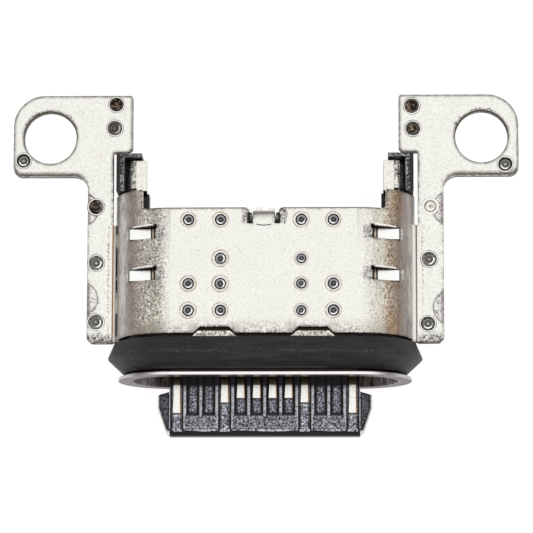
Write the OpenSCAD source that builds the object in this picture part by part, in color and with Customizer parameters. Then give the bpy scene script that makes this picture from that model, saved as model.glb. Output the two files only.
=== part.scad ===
// Waterproof USB-C socket for a slim device, with a welded bracket and two screw ears.
// Millimetres. The origin is the centre of the mouth in the rim's front face.
// +X is to the right seen from the plug, +Y runs back into the device, +Z is up.

/* [Mouth and inner shell] */
// Width of the opening that takes the plug
mouth_w = 8.34; // [8:0.02:10]
// Height of the opening that takes the plug
mouth_h = 2.56; // [2.4:0.02:3.1]
// Wall of the shell's body
shell_wall = 0.3; // [0.26:0.02:0.4]
// Wall left under the seal groove
groove_wall = 0.19; // [0.15:0.01:0.24]
// Width of the rim's flat ring round the mouth
rim_lip = 0.44; // [0.38:0.01:0.55]
// Thickness of the rim
rim_t = 0.11; // [0.08:0.01:0.2]
// Width of the seal groove, from the rim to the body
groove_w = 1.08; // [0.9:0.02:1.3]
// Length of the shell's body behind the groove
body_len = 3.51; // [3.2:0.05:4.2]
// Thickness of the plastic flange that closes the shell's rear end
flange_t = 0.42; // [0.3:0.02:0.6]
// Depth of the plug cavity from the rim's front face
cavity_depth = 3.5; // [3.2:0.05:3.8]

/* [Seal ring] */
// Gap between the rim and the seal
seal_gap = 0.1; // [0.04:0.01:0.15]
// Height of the seal's front corner above the groove
seal_front_h = 0.1; // [0.05:0.01:0.2]
// Height of the seal's peak above the groove
seal_peak_h = 0.58; // [0.5:0.02:0.75]
// Height of the seal's rear corner above the groove
seal_rear_h = 0.39; // [0.3:0.02:0.46]
// Radius of the peak's rounded tip
seal_tip_r = 0.06; // [0.05:0.01:0.12]
// Place of the peak, from the rim's front face
seal_peak_y = 0.71; // [0.6:0.01:0.8]

/* [Bracket sheet] */
// Thickness of the bracket's sheet
sheet_t = 0.15; // [0.12:0.01:0.2]
// Gap between the shell and the brackets
bracket_fit = 0.03; // [0.01:0.01:0.05]
// Inside radius of the bend between the arch and a leg
bend_r = 0.2; // [0.12:0.01:0.25]
// How far the arch's front edge lies behind the groove
arch_setback = 0.105; // [0.05:0.005:0.2]
// How far the legs reach in front of the arch
leg_lead = 0.06; // [0:0.01:0.1]
// How far the arch reaches back beyond the flange
arch_overhang = 0.13; // [0.1:0.01:0.3]
// Extra length of the arch's two rear horns
horn_len = 0.63; // [0.4:0.01:0.9]
// Width of a horn, seen from above
horn_w = 0.86; // [0.6:0.02:1]
// Width of a leg's flat part
leg_w = 0.81; // [0.6:0.01:1]
// Chamfer on a leg's front outer corner
leg_chamfer = 0.15; // [0.05:0.01:0.3]
// Length of the relief slot between arch and leg, in front of the arch's rear edge
slot_len = 0.29; // [0.2:0.01:0.5]

/* [Screw ears] */
// How far an ear reaches out beyond its leg
ear_reach = 2.38; // [2:0.02:2.9]
// How far an ear reaches in towards the middle from its leg's inner edge
ear_inset = 0.6; // [0.4:0.02:0.9]
// From the arch's rear horns back to the ears' front edge
ear_setback = 0.74; // [0.6:0.02:1.2]
// Length of an ear
ear_len = 2.55; // [2.2:0.05:3.1]
// Radius of the screw hole
ear_hole_r = 0.83; // [0.6:0.01:0.9]
// From the hole's centre to the ear's outer edge
hole_from_side = 1.17; // [1.05:0.01:1.3]
// From the hole's centre to the ear's front edge
hole_from_front = 1.18; // [1.05:0.01:1.3]
// Radius of an ear's rear outer corner
ear_corner_r = 1.0; // [0.5:0.05:1.2]
// Radius of an ear's front outer corner
ear_front_r = 0.3; // [0.15:0.05:0.5]
// Radius of the hollow corner between an ear and its leg
ear_fillet_r = 0.45; // [0.2:0.05:0.6]
// How far the lower ear shows in front of the upper one
lower_ear_lead = 0.07; // [0:0.01:0.1]

/* [Tongue] */
// Thickness of the tongue
tongue_t = 0.7; // [0.66:0.01:0.8]
// Width of the tongue's neck
tongue_w = 5.96; // [5.8:0.02:6.2]
// Width over the tongue's latch hooks
hook_w = 6.62; // [6.4:0.02:6.7]
// How far the tongue stands out of the mouth
tongue_out = 1.735; // [1.4:0.005:2]
// Depth of the windows and signal grooves
window_depth = 0.15; // [0.1:0.01:0.2]
// Depth of the grooves that run out to the tip
groove_depth = 0.09; // [0.06:0.01:0.15]

/* [Contacts] */
// Distance between neighbouring contact places on the tongue
pitch = 0.5; // [0.5:0.01:0.5]
// Distance between neighbouring tails at the board
tail_pitch = 0.4; // [0.35:0.01:0.42]
// Thickness of the contact metal
contact_t = 0.12; // [0.1:0.01:0.15]
// Width of a contact on the tongue
contact_w = 0.24; // [0.2:0.01:0.3]
// Width of a tail
tail_w = 0.2; // [0.15:0.01:0.25]
// How far the tails stand out behind the flange
tail_out = 0.42; // [0.3:0.02:0.8]

/* [Mid plate] */
// Thickness of the mid plate
mid_t = 0.15; // [0.1:0.01:0.2]
// How far the mid plate stands out of the tongue's sides
mid_proud = 0.05; // [0.03:0.01:0.08]
// Length of the solder legs' flat tops behind the bracket's horns
solder_flat = 1.1; // [0.8:0.02:1.4]
// Radius of the rear inner corner of a flat top
solder_corner_r = 0.1; // [0.05:0.01:0.2]
// Height of the solder legs' flat tops
solder_top_z = 0.6; // [0.45:0.01:0.7]
// How far the solder legs reach below the board face
solder_drop = 0.75; // [0.5:0.05:1]

/* [Hidden] */
$fn = 72;
eps = 0.01;
arc_steps = 12;

// Places along Y
body_y = rim_t + groove_w;
shell_rear_y = body_y + body_len;
flange_rear_y = shell_rear_y + flange_t;
arch_front_y = body_y + arch_setback;
arch_rear_y = flange_rear_y + arch_overhang;
horn_rear_y = arch_rear_y + horn_len;
leg_front_y = arch_front_y - leg_lead;
slot_y = arch_rear_y - slot_len;
ear_front_y = horn_rear_y + ear_setback;
ear_rear_y = ear_front_y + ear_len;
ear_inner_y = ear_front_y + 0.69;

// Half sizes of the shell's rounded outlines; each outline is a slot shape, as wide as the mouth plus its offset
mouth_r = mouth_h / 2;
side_x = (mouth_w - mouth_h) / 2;
groove_r = mouth_r + groove_wall;
body_r = mouth_r + shell_wall;
arch_r = body_r + bracket_fit;
arch_out_r = arch_r + sheet_t;

// The bend that joins the arch to a leg; its circle just bites into the arch's outside
bend_z = sheet_t + bend_r;
bend_bite = 0.004;
bend_lap = 3;
bend_reach = arch_out_r + bend_r - bend_bite;
bend_a = asin(bend_z / bend_reach);
bend_x = side_x + bend_reach * cos(bend_a);
slot_w = 0.11;
leg_out_x = bend_x + leg_w;
horn_in_x = side_x + arch_out_r - horn_w;
ear_out_x = leg_out_x + ear_reach;
ear_in_x = bend_x - ear_inset;
hole_x = ear_out_x - hole_from_side;
hole_y = ear_front_y + hole_from_front;

// Notches in the arch's front edge and the shell's lugs that fill them
notch_x = 1.53;
notch_depth = 0.19;
notch_w = 0.9;
notch_slope = 1.05;
lug_gap = 0.04;
lug_rear_gap = 0.1;

// Centre notch with its bent tab
tab_half = 0.345;
tab_slot = 0.11;
tab_slot_y = arch_rear_y - 0.5;
tab_bend_r = 0.04;
tab_flat_y = arch_rear_y - 0.27;
tab_drop = 0.8;
notch_corner_r = 0.15;
tab_room = 0.03;

// Lances pressed down from the arch's rounded sides
lance_w = 0.345;
lance_t = 0.1;
lance_rows = [arch_front_y + 1.885, arch_front_y + 3.195];
lance_in = 0.66;
lance_out = 1.32;
lance_root = 0.17;
lance_sink = 0.35;
lance_room = 0.02;
lance_gap = 0.02;
ramp_len = 0.25;
ramp_depth = 0.05;

// Weld spots: across the arch, down the legs and on the ears
weld_r = 0.18;
weld_depth = 0.03;
weld_shift = -0.09;
weld_cols = [1.755 - 0.5, 1.755 + 0.5];
weld_rows = [0.71, 1.55, 3.565];
weld_mid_row = 2.34;
leg_weld_r = 0.19;

// Marks on the left and the right leg, as distances in from its outer edge and back from the arch's front edge
leg_welds = [
    [[0.29, 0.595], [0.285, 2.475], [0.27, 4.275]],
    [[0.51, 0.525], [0.46, 2.575], [0.42, 4.275]]
];
scallop_r = 0.54;
scallop_out = 0.2;
scallop_depth = 0.04;
scallop_rows = [[1.325, 4.2], [1.035, 4.2]];

// Marks on the left and the right ear, from its inner edge and its front edge
ear_welds = [
    [[0.527, 2.255], [0.572, 1.49], [3.467, 0.444]],
    [[0.42, 2.186], [0.452, 1.45], [3.367, 0.292]]
];

// Tongue outline, half of it, from the root to the tip
tongue_half = tongue_w / 2;
hook_half = hook_w / 2;
tip_y = -tongue_out;
hook_rear_y = tip_y + 1.3;
hook_side_y = tip_y + 0.875;
hook_tip_y = tip_y + 0.2;
hook_tip_half = hook_half - 0.23;
tip_slope = 0.235;
tip_drop = 0.1;
tip_nose = 0.12;
land_z = tongue_t / 2;
window_z = land_z - window_depth;
open_z = land_z - groove_depth;
contact_z = land_z - 0.02;
window_w = 0.35;
groove_open_w = 0.36;
window_end_y = tip_y + 0.68;
window_rear_y = 0.8;
groove_rear_y = 2.7;
root_y = 2.85;
root_z = 0.5;
root_half = 3.1;

// Base, flange and horns of the tongue moulding
base_fit = 0.02;
flange_recess = 0.2;
recess_half = 3.4;
recess_h = 1.2;
board_z = -sheet_t;
horn_block_in = 3.66;
horn_seat_in = 3.87;
horn_block_out = 4.674;
horn_wall = 0.26;
horn_rear_wall = 0.13;
horn_block_rear_y = horn_rear_y + 1.27;
horn_top_z = 0.9;
pit_floor = 0.15;
pit_front_y = horn_rear_y + 0.03;
horn_fit = 0.05;

// Ground plates
ground_t = 0.12;
ground_half = 3.05;
ground_front_y = root_y - 0.05;
ground_h = mouth_r - 0.06;

// First-shot insulators
insulator_half = 3.2;
insulator_front_y = cavity_depth + 0.3;
insulator_rear_y = flange_rear_y - flange_recess;
insulator_top_z = 0.8;

// Contacts: places on the tongue, ends, and the run back to the tails
PINS = [1, 4, 5, 6, 7, 8, 9, 12];
END_FROM_TIP = [0.68, 1.01, 1.15, 1.15, 1.15, 1.15, 1.01, 0.68];
jog_y = [insulator_front_y, insulator_front_y + 0.65];
drop_y = [jog_y[1] + 0.02, jog_y[1] + 0.3];
tail_z = board_z + contact_t;
tail_end_y = flange_rear_y + tail_out;
contact_nose = 0.04;

// Mid plate: side arms, ramps and solder legs
arm_in = 3.45;
arm_out = 4.06;
arm_start_y = 3.7;
plate_rear_y = 4.1;
leg_in_x = 3.716;
solder_wall = 0.15;
solder_bend_r = 0.05;
ramp_clear_y = flange_rear_y + 0.1;
ramp_y = [flange_rear_y + 0.33, flange_rear_y + 0.93];
solder_rear_y = horn_rear_y + solder_flat;
solder_front_y = ramp_y[1] + 0.02;

// Points of an arc about a centre, from angle a0 to a1
function arc(cx, cy, r, a0, a1, n = arc_steps) =
    [for (i = [0:n]) let (a = a0 + (a1 - a0) * i / n) [cx + r * cos(a), cy + r * sin(a)]];

// Place of a contact on the tongue and of its tail
function pin_x(i) = (PINS[i] - 6.5) * pitch;
function tail_x(i) = (2 * i - 7) * tail_pitch;

// Extrudes a profile drawn in X and Z from y0 back to y1
module along_y(y0, y1) {
    translate([0, y1, 0]) rotate([90, 0, 0]) linear_extrude(y1 - y0) children();
}

// Extrudes a profile drawn in Y and Z across x0 to x1
module along_x(x0, x1) {
    translate([x0, 0, 0]) rotate([90, 0, 90]) linear_extrude(x1 - x0) children();
}

// Extrudes a plan drawn in X and Y from z0 up to z1
module along_z(z0, z1) {
    translate([0, 0, z0]) linear_extrude(z1 - z0) children();
}

module both_sides() {
    children();
    mirror([1, 0, 0]) children();
}

module upside_down() {
    mirror([0, 0, 1]) children();
}

// A slot-shaped outline whose ends are half circles of radius r
module slot_shape(r) {
    square([2 * side_x, 2 * r], center = true);
    for (s = [-1, 1]) translate([s * side_x, 0]) circle(r);
}

// Part of a ring between two angles, under 180 degrees
module ring_sector(r, t, a0, a1) {
    intersection() {
        difference() {
            circle(r + t);
            circle(r);
        }
        polygon(concat([[0, 0]], arc(0, 0, 2 * (r + t), a0, a1, 4)));
    }
}

// A trapezoid with its wide side on y0, as the notches in the arch and the lugs in them
module trapezoid(y0, y1, w1, slope) {
    w0 = w1 + 2 * slope * (y1 - y0);
    polygon([[-w0 / 2, y0], [w0 / 2, y0], [w1 / 2, y1], [-w1 / 2, y1]]);
}

// Section of the bracket's arch, from the foot of its sides over the top
module arch_section() {
    translate([-side_x - eps, arch_r]) square([2 * (side_x + eps), sheet_t]);
    both_sides() translate([side_x, 0]) ring_sector(arch_r, sheet_t, bend_a - bend_lap, 90);
}

// The arch, down to where the bends begin
module arch_body() {
    intersection() {
        along_y(arch_front_y - 1, horn_rear_y + 1) arch_section();
        along_z(-1, arch_out_r + 1) arch_plan();
    }
}

// The bends: whole in front, and behind the slot's end only a flared foot under each horn
module bends() {
    difference() {
        along_y(leg_front_y, horn_rear_y) bend_section();
        both_sides() translate([bend_x - slot_w, slot_y, -1]) cube([slot_w + 1, horn_rear_y, 2]);
    }
}

// Section of the bend between the arch and the leg
module bend_section() {
    both_sides() translate([bend_x, bend_z]) ring_sector(bend_r, sheet_t, 180 + bend_a, 270);
}

// Plan of the arch: front notches, centre notch, tab root and the two rear horns
module arch_plan() {
    x_end = side_x + arch_out_r + 1;
    slot_out = tab_half + tab_slot;
    difference() {
        both_sides() polygon(concat(
            [[-eps, arch_front_y], [x_end, arch_front_y], [x_end, horn_rear_y]],
            arc(horn_in_x + 0.08, horn_rear_y - 0.08, 0.08, 90, 180, 4),
            arc(horn_in_x - 0.12, arch_rear_y + 0.12, 0.12, 0, -90, 5),
            arc(slot_out + notch_corner_r, arch_rear_y - notch_corner_r, notch_corner_r, 90, 180, 6),
            [[slot_out, tab_slot_y], [tab_half, tab_slot_y], [tab_half, tab_flat_y], [-eps, tab_flat_y]]
        ));
        for (s = [-1, 1]) translate([s * notch_x, 0])
            trapezoid(arch_front_y - eps, arch_front_y + notch_depth, notch_w, notch_slope);
    }
}

// Plan of a leg and its ear; lead moves the ear's front edge forward
module leg_plan(lead) {
    ear_y = ear_front_y - lead;
    front_y = leg_front_y - lead / 3;
    polygon(concat(
        [[bend_x, front_y], [leg_out_x - leg_chamfer, front_y]],
        [[leg_out_x, front_y + leg_chamfer]],
        arc(leg_out_x + ear_fillet_r, ear_y - ear_fillet_r, ear_fillet_r, 180, 90),
        arc(ear_out_x - ear_front_r, ear_y + ear_front_r, ear_front_r, -90, 0),
        arc(ear_out_x - ear_corner_r, ear_rear_y - ear_corner_r, ear_corner_r, 0, 90, 2 * arc_steps),
        arc(ear_in_x + 0.1, ear_rear_y - 0.1, 0.1, 90, 180, 4),
        [[ear_in_x, ear_inner_y + 0.12], [ear_in_x + 0.12, ear_inner_y], [bend_x, ear_inner_y]]
    ));
}

// Height of the sheet's outside at a distance beyond the start of its rounded side
function sheet_top(x) = sqrt(pow(arch_out_r, 2) - pow(x, 2));

// The lance's section: a step down from the sheet, then a nearly flat tab
module lance_section() {
    x_in = side_x + lance_in;
    x_out = side_x + lance_out;
    z_in = sheet_top(lance_in) - lance_sink;
    x_root = x_in - lance_root;
    polygon([
        [x_root, sheet_top(lance_in - lance_root)], [x_in, z_in], [x_out, sheet_top(lance_out)],
        [x_out, sheet_top(lance_out) - lance_t], [x_in - lance_t / 2, z_in - lance_t],
        [x_root - lance_t, sheet_top(lance_in - lance_root) - sheet_t]
    ]);
}

// The room that a lance needs in the shell, open at the top
module lance_pocket() {
    x_in = side_x + lance_in - lance_t / 2 - lance_room;
    x_out = side_x + lance_out + lance_room;
    x_root = side_x + lance_in - lance_root - lance_t - lance_room;
    z_in = sheet_top(lance_in) - lance_sink - lance_t - lance_room;
    polygon([
        [x_root, arch_out_r], [x_out, arch_out_r], [x_out, sheet_top(lance_out) - lance_t - lance_room],
        [x_in, z_in], [x_root, sheet_top(lance_in - lance_root) - sheet_t - lance_room]
    ]);
}

// The window that a lance is pressed out of, with the punch's shallow ramp behind its root
module lance_window(y) {
    x_root = side_x + lance_in - lance_root;
    both_sides() {
        along_y(y - lance_w / 2 - lance_gap, y + lance_w / 2 + lance_gap) translate([x_root, 0])
            square([lance_out - lance_in + lance_root + lance_gap, arch_out_r + 1]);
        along_y(y - lance_w / 2, y + lance_w / 2) polygon([
            [x_root - ramp_len, sheet_top(lance_in - lance_root - ramp_len)], [x_root - ramp_len, arch_out_r + 1],
            [x_root + eps, arch_out_r + 1], [x_root + eps, sheet_top(lance_in - lance_root) - ramp_depth]
        ]);
    }
}

module lances() {
    for (y = lance_rows) both_sides() along_y(y - lance_w / 2, y + lance_w / 2) lance_section();
}

// The centre tab, bent down over the flange's rear face
module centre_tab() {
    z_c = arch_r - tab_bend_r;
    along_x(-tab_half, tab_half) {
        translate([tab_flat_y, z_c]) ring_sector(tab_bend_r, sheet_t, 0, 90);
        translate([tab_flat_y + tab_bend_r, z_c - tab_drop]) square([sheet_t, tab_drop]);
    }
}

// Weld spots as shallow pits, cut into the sheet's outer face
module arch_welds() {
    for (s = [-1, 1], c = weld_cols, r = weld_rows)
        translate([s * c + weld_shift, arch_front_y + r, arch_out_r - weld_depth]) cylinder(1, r = weld_r);
    for (s = [-1, 1])
        translate([s * weld_cols[0] + weld_shift, arch_front_y + weld_mid_row, arch_out_r - weld_depth])
            cylinder(1, r = weld_r);
}

// Weld spots and the two shallow dents on one leg and ear; side 0 is the left, side 1 the right
module leg_marks(side) {
    mirror([1 - side, 0, 0]) {
        for (w = leg_welds[side]) translate([leg_out_x - w[0], arch_front_y + w[1], sheet_t - weld_depth])
            cylinder(1, r = leg_weld_r);
        for (w = ear_welds[side]) translate([ear_in_x + w[0], ear_front_y + w[1], sheet_t - weld_depth])
            cylinder(1, r = leg_weld_r);
        for (y = scallop_rows[side]) translate([leg_out_x + scallop_out, arch_front_y + y, sheet_t - scallop_depth])
            cylinder(1, r = scallop_r);
    }
}

// One bracket with its sheet above z = 0
module bracket(lead, with_marks) {
    difference() {
        union() {
            arch_body();
            bends();
            both_sides() along_z(0, sheet_t) leg_plan(lead);
            centre_tab();
        }
        for (y = lance_rows) lance_window(y);
        both_sides() translate([hole_x, hole_y, -1]) cylinder(2, r = ear_hole_r);
        arch_welds();
        if (with_marks) for (side = [0, 1]) leg_marks(side);
    }
    lances();
}

module top_bracket() {
    color("lightgray") bracket(0, true);
}

module bottom_bracket() {
    color("silver") upside_down() bracket(lower_ear_lead, false);
}

// Lugs that stand in the bracket's notches
module lugs() {
    for (s = [-1, 1]) translate([s * notch_x, 0]) along_z(0, arch_out_r - bracket_fit)
        trapezoid(body_y, arch_front_y + notch_depth - lug_rear_gap, notch_w - 2 * lug_gap + 2 * lug_rear_gap, notch_slope);
}

module inner_shell() {
    color("silver") difference() {
        union() {
            along_y(0, rim_t) slot_shape(mouth_r + rim_lip);
            along_y(0, body_y + eps) slot_shape(groove_r);
            along_y(body_y, shell_rear_y) slot_shape(body_r);
            lugs();
            upside_down() lugs();
        }
        along_y(-1, shell_rear_y + 1) slot_shape(mouth_r);
        for (y = lance_rows) along_y(y - lance_w / 2 - lance_room, y + lance_w / 2 + lance_room)
            both_sides() {
                lance_pocket();
                mirror([0, 1, 0]) lance_pocket();
            }
    }
}

// Section of the seal, with y along the socket and its height above the groove
module seal_section() {
    y0 = rim_t + seal_gap;
    y1 = body_y;
    tip_h = seal_peak_h - seal_tip_r;
    front_a = 90 + atan2(tip_h - seal_front_h, seal_peak_y - y0);
    rear_a = 90 - atan2(tip_h - seal_rear_h, y1 - seal_peak_y);
    polygon(concat(
        [[y0, 0], [y0, seal_front_h]],
        arc(seal_peak_y, tip_h, seal_tip_r, front_a + 8, rear_a - 8, 6),
        [[y1, seal_rear_h], [y1, 0]]
    ));
}

module seal_ring() {
    color("dimgray") {
        for (s = [0, 1]) mirror([s, 0, 0]) translate([side_x, 0, 0]) rotate([-90, 0, 0]) rotate([0, 0, -90])
            rotate_extrude(angle = 180) translate([groove_r, 0]) rotate(90) mirror([0, 1]) seal_section();
        for (s = [0, 1]) mirror([0, 0, s]) translate([0, 0, groove_r]) along_x(-side_x, side_x) seal_section();
    }
}

// Side profile of the tongue: rounded nose, chamfered lands and the thicker root
module tongue_profile() {
    nose_y = tip_y + tip_nose;
    nose_z = land_z - tip_drop;
    polygon([
        [cavity_depth + eps, root_z], [root_y, root_z], [root_y - 0.15, land_z], [tip_y + tip_slope, land_z],
        [nose_y, nose_z], [nose_y, -nose_z], [tip_y + tip_slope, -land_z], [root_y - 0.15, -land_z],
        [root_y, -root_z], [cavity_depth + eps, -root_z]
    ]);
    for (s = [-1, 1]) translate([nose_y, s * (nose_z - tip_nose)]) circle(tip_nose);
    translate([tip_y, tip_nose - nose_z]) square([2 * tip_nose, 2 * (nose_z - tip_nose)]);
}

module tongue_plan() {
    both_sides() polygon([
        [-eps, cavity_depth + 1], [root_half, cavity_depth + 1], [root_half, root_y - 0.1],
        [tongue_half, root_y - 0.25], [tongue_half, hook_rear_y + 0.08], [hook_half - 0.04, hook_rear_y],
        [hook_half, hook_rear_y - 0.04], [hook_half, hook_side_y], [hook_tip_half, hook_tip_y],
        [tongue_half, hook_tip_y - 0.02], [tongue_half, tip_y], [-eps, tip_y]
    ]);
}

// Grooves and windows in one face of the tongue
module face_cuts() {
    for (i = [0:7], s = [-1, 1]) {
        open = i == 0 || i == 1 || i == 6 || i == 7;
        translate([pin_x(i), 0, 0])
            if (open)
                along_z(open_z, 1) translate([-groove_open_w / 2, tip_y - 1])
                    square([groove_open_w, groove_rear_y - tip_y + 1]);
            else
                along_z(window_z, 1) translate([-window_w / 2, window_end_y])
                    square([window_w, groove_rear_y - window_end_y]);
    }
    for (p = [2, 3, 10, 11]) along_z(window_z, 1) translate([(p - 6.5) * pitch - window_w / 2, window_end_y])
        square([window_w, window_rear_y - window_end_y]);
}

// The horns behind the flange, which carry the solder legs
module horn_blocks() {
    both_sides() difference() {
        union() {
            intersection() {
                along_y(flange_rear_y - eps, horn_rear_y + horn_fit) slot_shape(arch_r - horn_fit);
                translate([horn_block_in, 0, board_z]) cube([2, horn_block_rear_y, horn_top_z - board_z]);
            }
            translate([horn_seat_in, horn_rear_y + horn_fit, board_z])
                cube([horn_block_out - horn_seat_in, horn_block_rear_y - horn_rear_y - horn_fit, horn_top_z - board_z]);
        }
        translate([arm_out + solder_wall + 0.04, pit_front_y, board_z + pit_floor])
            cube([horn_block_out - horn_wall - arm_out - solder_wall - 0.04, horn_block_rear_y - horn_rear_wall - pit_front_y, 3]);
        translate([horn_block_in - 1, ramp_clear_y, solder_top_z - mid_t])
            cube([arm_out + solder_wall + 0.06 - horn_block_in + 1, horn_block_rear_y - horn_rear_wall - ramp_clear_y, 3]);
    }
}

module all_contacts() {
    for (i = [0:7]) {
        contact(i);
        rotate([0, 180, 0]) contact(i);
    }
}

module tongue_moulding() {
    color([0.16, 0.16, 0.18]) difference() {
        union() {
            intersection() {
                along_x(-root_half - 1, root_half + 1) tongue_profile();
                along_z(-1, 1) tongue_plan();
            }
            along_y(cavity_depth, shell_rear_y + eps) slot_shape(mouth_r - base_fit);
            along_y(shell_rear_y, flange_rear_y) slot_shape(body_r);
            horn_blocks();
        }
        face_cuts();
        upside_down() face_cuts();
        insulators();
        sealant_block();
        mid_plate_solid();
        all_contacts();
        ground_plate(0);
        upside_down() ground_plate(0);
        for (s = [0, 1]) mirror([0, 0, s])
            translate([-tab_half - tab_room, tab_flat_y + tab_bend_r - tab_room, arch_r - tab_bend_r - tab_drop - tab_room])
                cube([2 * (tab_half + tab_room), 1, 2]);
    }
}

module insulators() {
    translate([-insulator_half, insulator_front_y, -insulator_top_z])
        cube([2 * insulator_half, insulator_rear_y - insulator_front_y, 2 * insulator_top_z]);
}

module sealant_block() {
    translate([-recess_half, insulator_rear_y, -recess_h / 2])
        cube([2 * recess_half, flange_recess, recess_h]);
}

module upper_insulator() {
    color([0.2, 0.2, 0.22]) difference() {
        intersection() {
            insulators();
            translate([-5, 0, 0]) cube([10, 10, 5]);
        }
        mid_plate_solid();
        all_contacts();
    }
}

module lower_insulator() {
    color([0.2, 0.2, 0.22]) difference() {
        intersection() {
            insulators();
            translate([-5, 0, -5]) cube([10, 10, 5]);
        }
        mid_plate_solid();
        all_contacts();
    }
}

module rear_sealant() {
    color([0.12, 0.1, 0.1]) difference() {
        sealant_block();
        all_contacts();
    }
}

// One upper contact: its side profile cut by its plan, with the jog to its tail
module contact(i) {
    x0 = pin_x(i);
    x1 = tail_x(i) - tail_pitch / 2;
    y0 = tip_y + END_FROM_TIP[i];
    hw = contact_w / 2;
    ht = tail_w / 2;
    z1 = contact_z;
    z0 = contact_z - contact_t;
    intersection() {
        along_x(-4, 4) polygon([
            [y0, z0], [y0, z1 - contact_nose], [y0 + contact_nose, z1], [drop_y[0], z1],
            [drop_y[1], tail_z], [tail_end_y, tail_z], [tail_end_y, tail_z - contact_t],
            [drop_y[1] - 0.06, tail_z - contact_t], [drop_y[0] - 0.06, z0]
        ]);
        along_z(-1, 1) polygon([
            [x0 - hw - 0.02, y0], [x0 + hw + 0.02, y0], [x0 + hw, y0 + 0.5], [x0 + hw, jog_y[0]],
            [x1 + ht, jog_y[1]], [x1 + ht, tail_end_y], [x1 - ht, tail_end_y],
            [x1 - ht, jog_y[1]], [x0 - hw, jog_y[0]], [x0 - hw, y0 + 0.5]
        ]);
    }
}

module upper_contact(i) {
    color("gold") contact(i);
}

module lower_contact(i) {
    color("gold") rotate([0, 180, 0]) contact(i);
}

// The plate in the tongue's middle, with arms that rise into the solder legs
module mid_plate_solid() {
    tongue_edge = hook_half + mid_proud;
    along_z(-mid_t / 2, mid_t / 2) both_sides() polygon([
        [-eps, plate_rear_y], [arm_in - 0.2, plate_rear_y], [arm_in, plate_rear_y + 0.2],
        [arm_in, ramp_y[0]], [arm_out, ramp_y[0]], [arm_out, arm_start_y], [root_half - 0.1, arm_start_y],
        [root_half - 0.1, root_y], [tongue_half - 0.15, root_y - 0.2], [tongue_half - 0.15, hook_rear_y + 0.15],
        [tongue_half + 0.02, hook_rear_y + 0.06], [tongue_edge - 0.04, hook_rear_y + 0.02],
        [tongue_edge, hook_rear_y - 0.03], [tongue_edge, hook_side_y],
        [hook_tip_half + mid_proud, hook_tip_y], [hook_tip_half - 0.02, tip_y + 0.05],
        [hook_tip_half - 0.12, tip_y + 0.01], [-eps, tip_y + 0.03]
    ]);
    both_sides() {
        intersection() {
            along_x(leg_in_x, arm_out) polygon([
                [ramp_y[0] - eps, -mid_t / 2], [ramp_y[0] - eps, mid_t / 2],
                [ramp_y[1] - 0.05, solder_top_z], [solder_rear_y, solder_top_z],
                [solder_rear_y, solder_top_z - mid_t], [ramp_y[1] + 0.05, solder_top_z - mid_t],
                [ramp_y[0] + 0.05, -mid_t / 2]
            ]);
            along_z(-mid_t, solder_top_z + mid_t) polygon(concat(
                arc(leg_in_x + solder_corner_r, solder_rear_y - solder_corner_r, solder_corner_r, 180, 90, 5),
                [[arm_out + 0.1, solder_rear_y], [arm_out + 0.1, ramp_y[0] - 0.1], [leg_in_x, ramp_y[0] - 0.1]]
            ));
        }
        along_y(solder_front_y, solder_rear_y) {
            translate([arm_out, solder_top_z - mid_t - solder_bend_r])
                ring_sector(solder_bend_r, mid_t, 0, 90);
            translate([arm_out + solder_bend_r, board_z - solder_drop])
                square([mid_t, solder_top_z - mid_t - solder_bend_r - board_z + solder_drop]);
        }
    }
}

module mid_plate() {
    color("lightgray") mid_plate_solid();
}

// Ground plate: flat on the tongue's thick root, then up the cavity's back wall
module ground_plate(grow) {
    difference() {
        translate([-ground_half, ground_front_y, root_z])
            cube([2 * ground_half, cavity_depth - ground_front_y, ground_h - root_z]);
        translate([-ground_half - 1, ground_front_y - 1, root_z + ground_t])
            cube([2 * ground_half + 2, cavity_depth - ground_t - ground_front_y + 1, 5]);
    }
}

module upper_ground_plate() {
    color("lightgray") ground_plate(0);
}

module lower_ground_plate() {
    color("lightgray") upside_down() ground_plate(0);
}

top_bracket();
bottom_bracket();
inner_shell();
seal_ring();
tongue_moulding();
mid_plate();
upper_insulator();
lower_insulator();
upper_ground_plate();
lower_ground_plate();
rear_sealant();
for (i = [0:7]) {
    upper_contact(i);
    lower_contact(i);
}
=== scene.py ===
# %% [markdown]
# # A waterproof USB-C socket with screw ears
# The socket is a small metal tube with a black tongue inside it, a rubber seal round its mouth
# and two stamped sheets that clamp it and carry the screw ears. The sizes and the place of each
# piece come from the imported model, so this lesson only gives each piece its edges, its finish
# and the small marks that making it leaves behind: weld spots, drawn corners and sheared edges.

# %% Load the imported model
import math

import bmesh
import bpy
from mathutils import Matrix, Vector


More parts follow.
